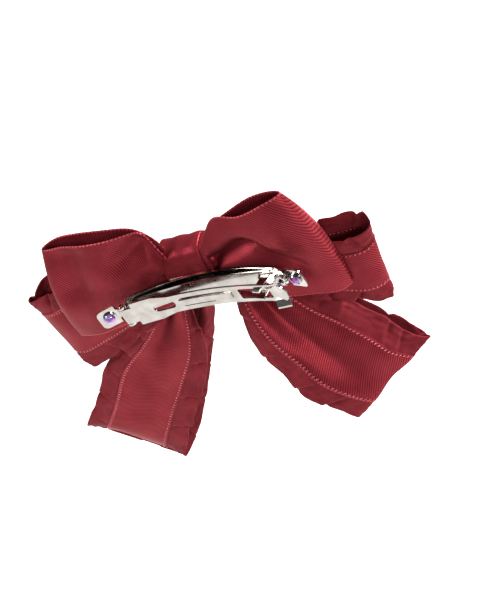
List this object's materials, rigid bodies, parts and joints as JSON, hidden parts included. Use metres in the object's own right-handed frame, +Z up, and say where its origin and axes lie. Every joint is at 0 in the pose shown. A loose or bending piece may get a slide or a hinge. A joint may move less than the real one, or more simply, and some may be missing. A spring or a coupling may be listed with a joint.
{
  "type": "hair bow barrette",
  "caption": "Layered satin ribbon bow with stitched ruffle edges on a sprung metal barrette that clips round a lock of hair.",
  "frame": {"origin": "middle of the gap that holds the hair, between the tension bar and the clamping arm, half way along the barrette", "axes": "+X along the barrette from its hinge to its clasp, +Y out of the bow's front, -Y towards the head, +Z up as worn"},
  "size_m": [0.1556, 0.0306, 0.1237],
  "materials": {
    "polished_nickel": "polished nickel plate",
    "violet_glass": "domed, foil backed",
    "hot_glue": "set glue",
    "satin_ribbon": "satin weave",
    "ruffle_trim": "matt pleated",
    "sewing_thread": "twisted thread"
  },
  "bodies": {
    "bow": {"base_plate": "polished_nickel", "hinge_pin": "polished_nickel", "tension_bar": "polished_nickel", "keeper": "polished_nickel", "keeper_rivet": "polished_nickel", "hinge_end_cup": "polished_nickel", "clasp_end_cup": "polished_nickel", "hinge_end_stone": "violet_glass", "clasp_end_stone": "violet_glass", "glue_pad": "hot_glue", "gathered_ends": "satin_ribbon", "gather_thread": "sewing_thread", "wrap_under_layer": "satin_ribbon", "centre_wrap": "satin_ribbon", "satin_loop_left": "satin_ribbon", "satin_loop_right": "satin_ribbon", "ruffle_loop_upper_left": "satin_ribbon", "upper_trim_upper_left": "ruffle_trim", "lower_trim_upper_left": "ruffle_trim", "stitching_upper_left": "sewing_thread", "ruffle_loop_upper_right": "satin_ribbon", "upper_trim_upper_right": "ruffle_trim", "lower_trim_upper_right": "ruffle_trim", "stitching_upper_right": "sewing_thread", "ruffle_loop_lower_left": "satin_ribbon", "upper_trim_lower_left": "ruffle_trim", "lower_trim_lower_left": "ruffle_trim", "stitching_lower_left": "sewing_thread", "ruffle_loop_lower_right": "satin_ribbon", "upper_trim_lower_right": "ruffle_trim", "lower_trim_lower_right": "ruffle_trim", "stitching_lower_right": "sewing_thread"},
    "arm": {"clip_arm": "polished_nickel"}
  },
  "joints": [
    {"name": "arm_hinge", "type": "hinge", "parent": "bow", "child": "arm", "pos_m": [-0.0296, -0.00262, 0], "axis": [0, 0, -1], "range_deg": [0, 100]}
  ]
}
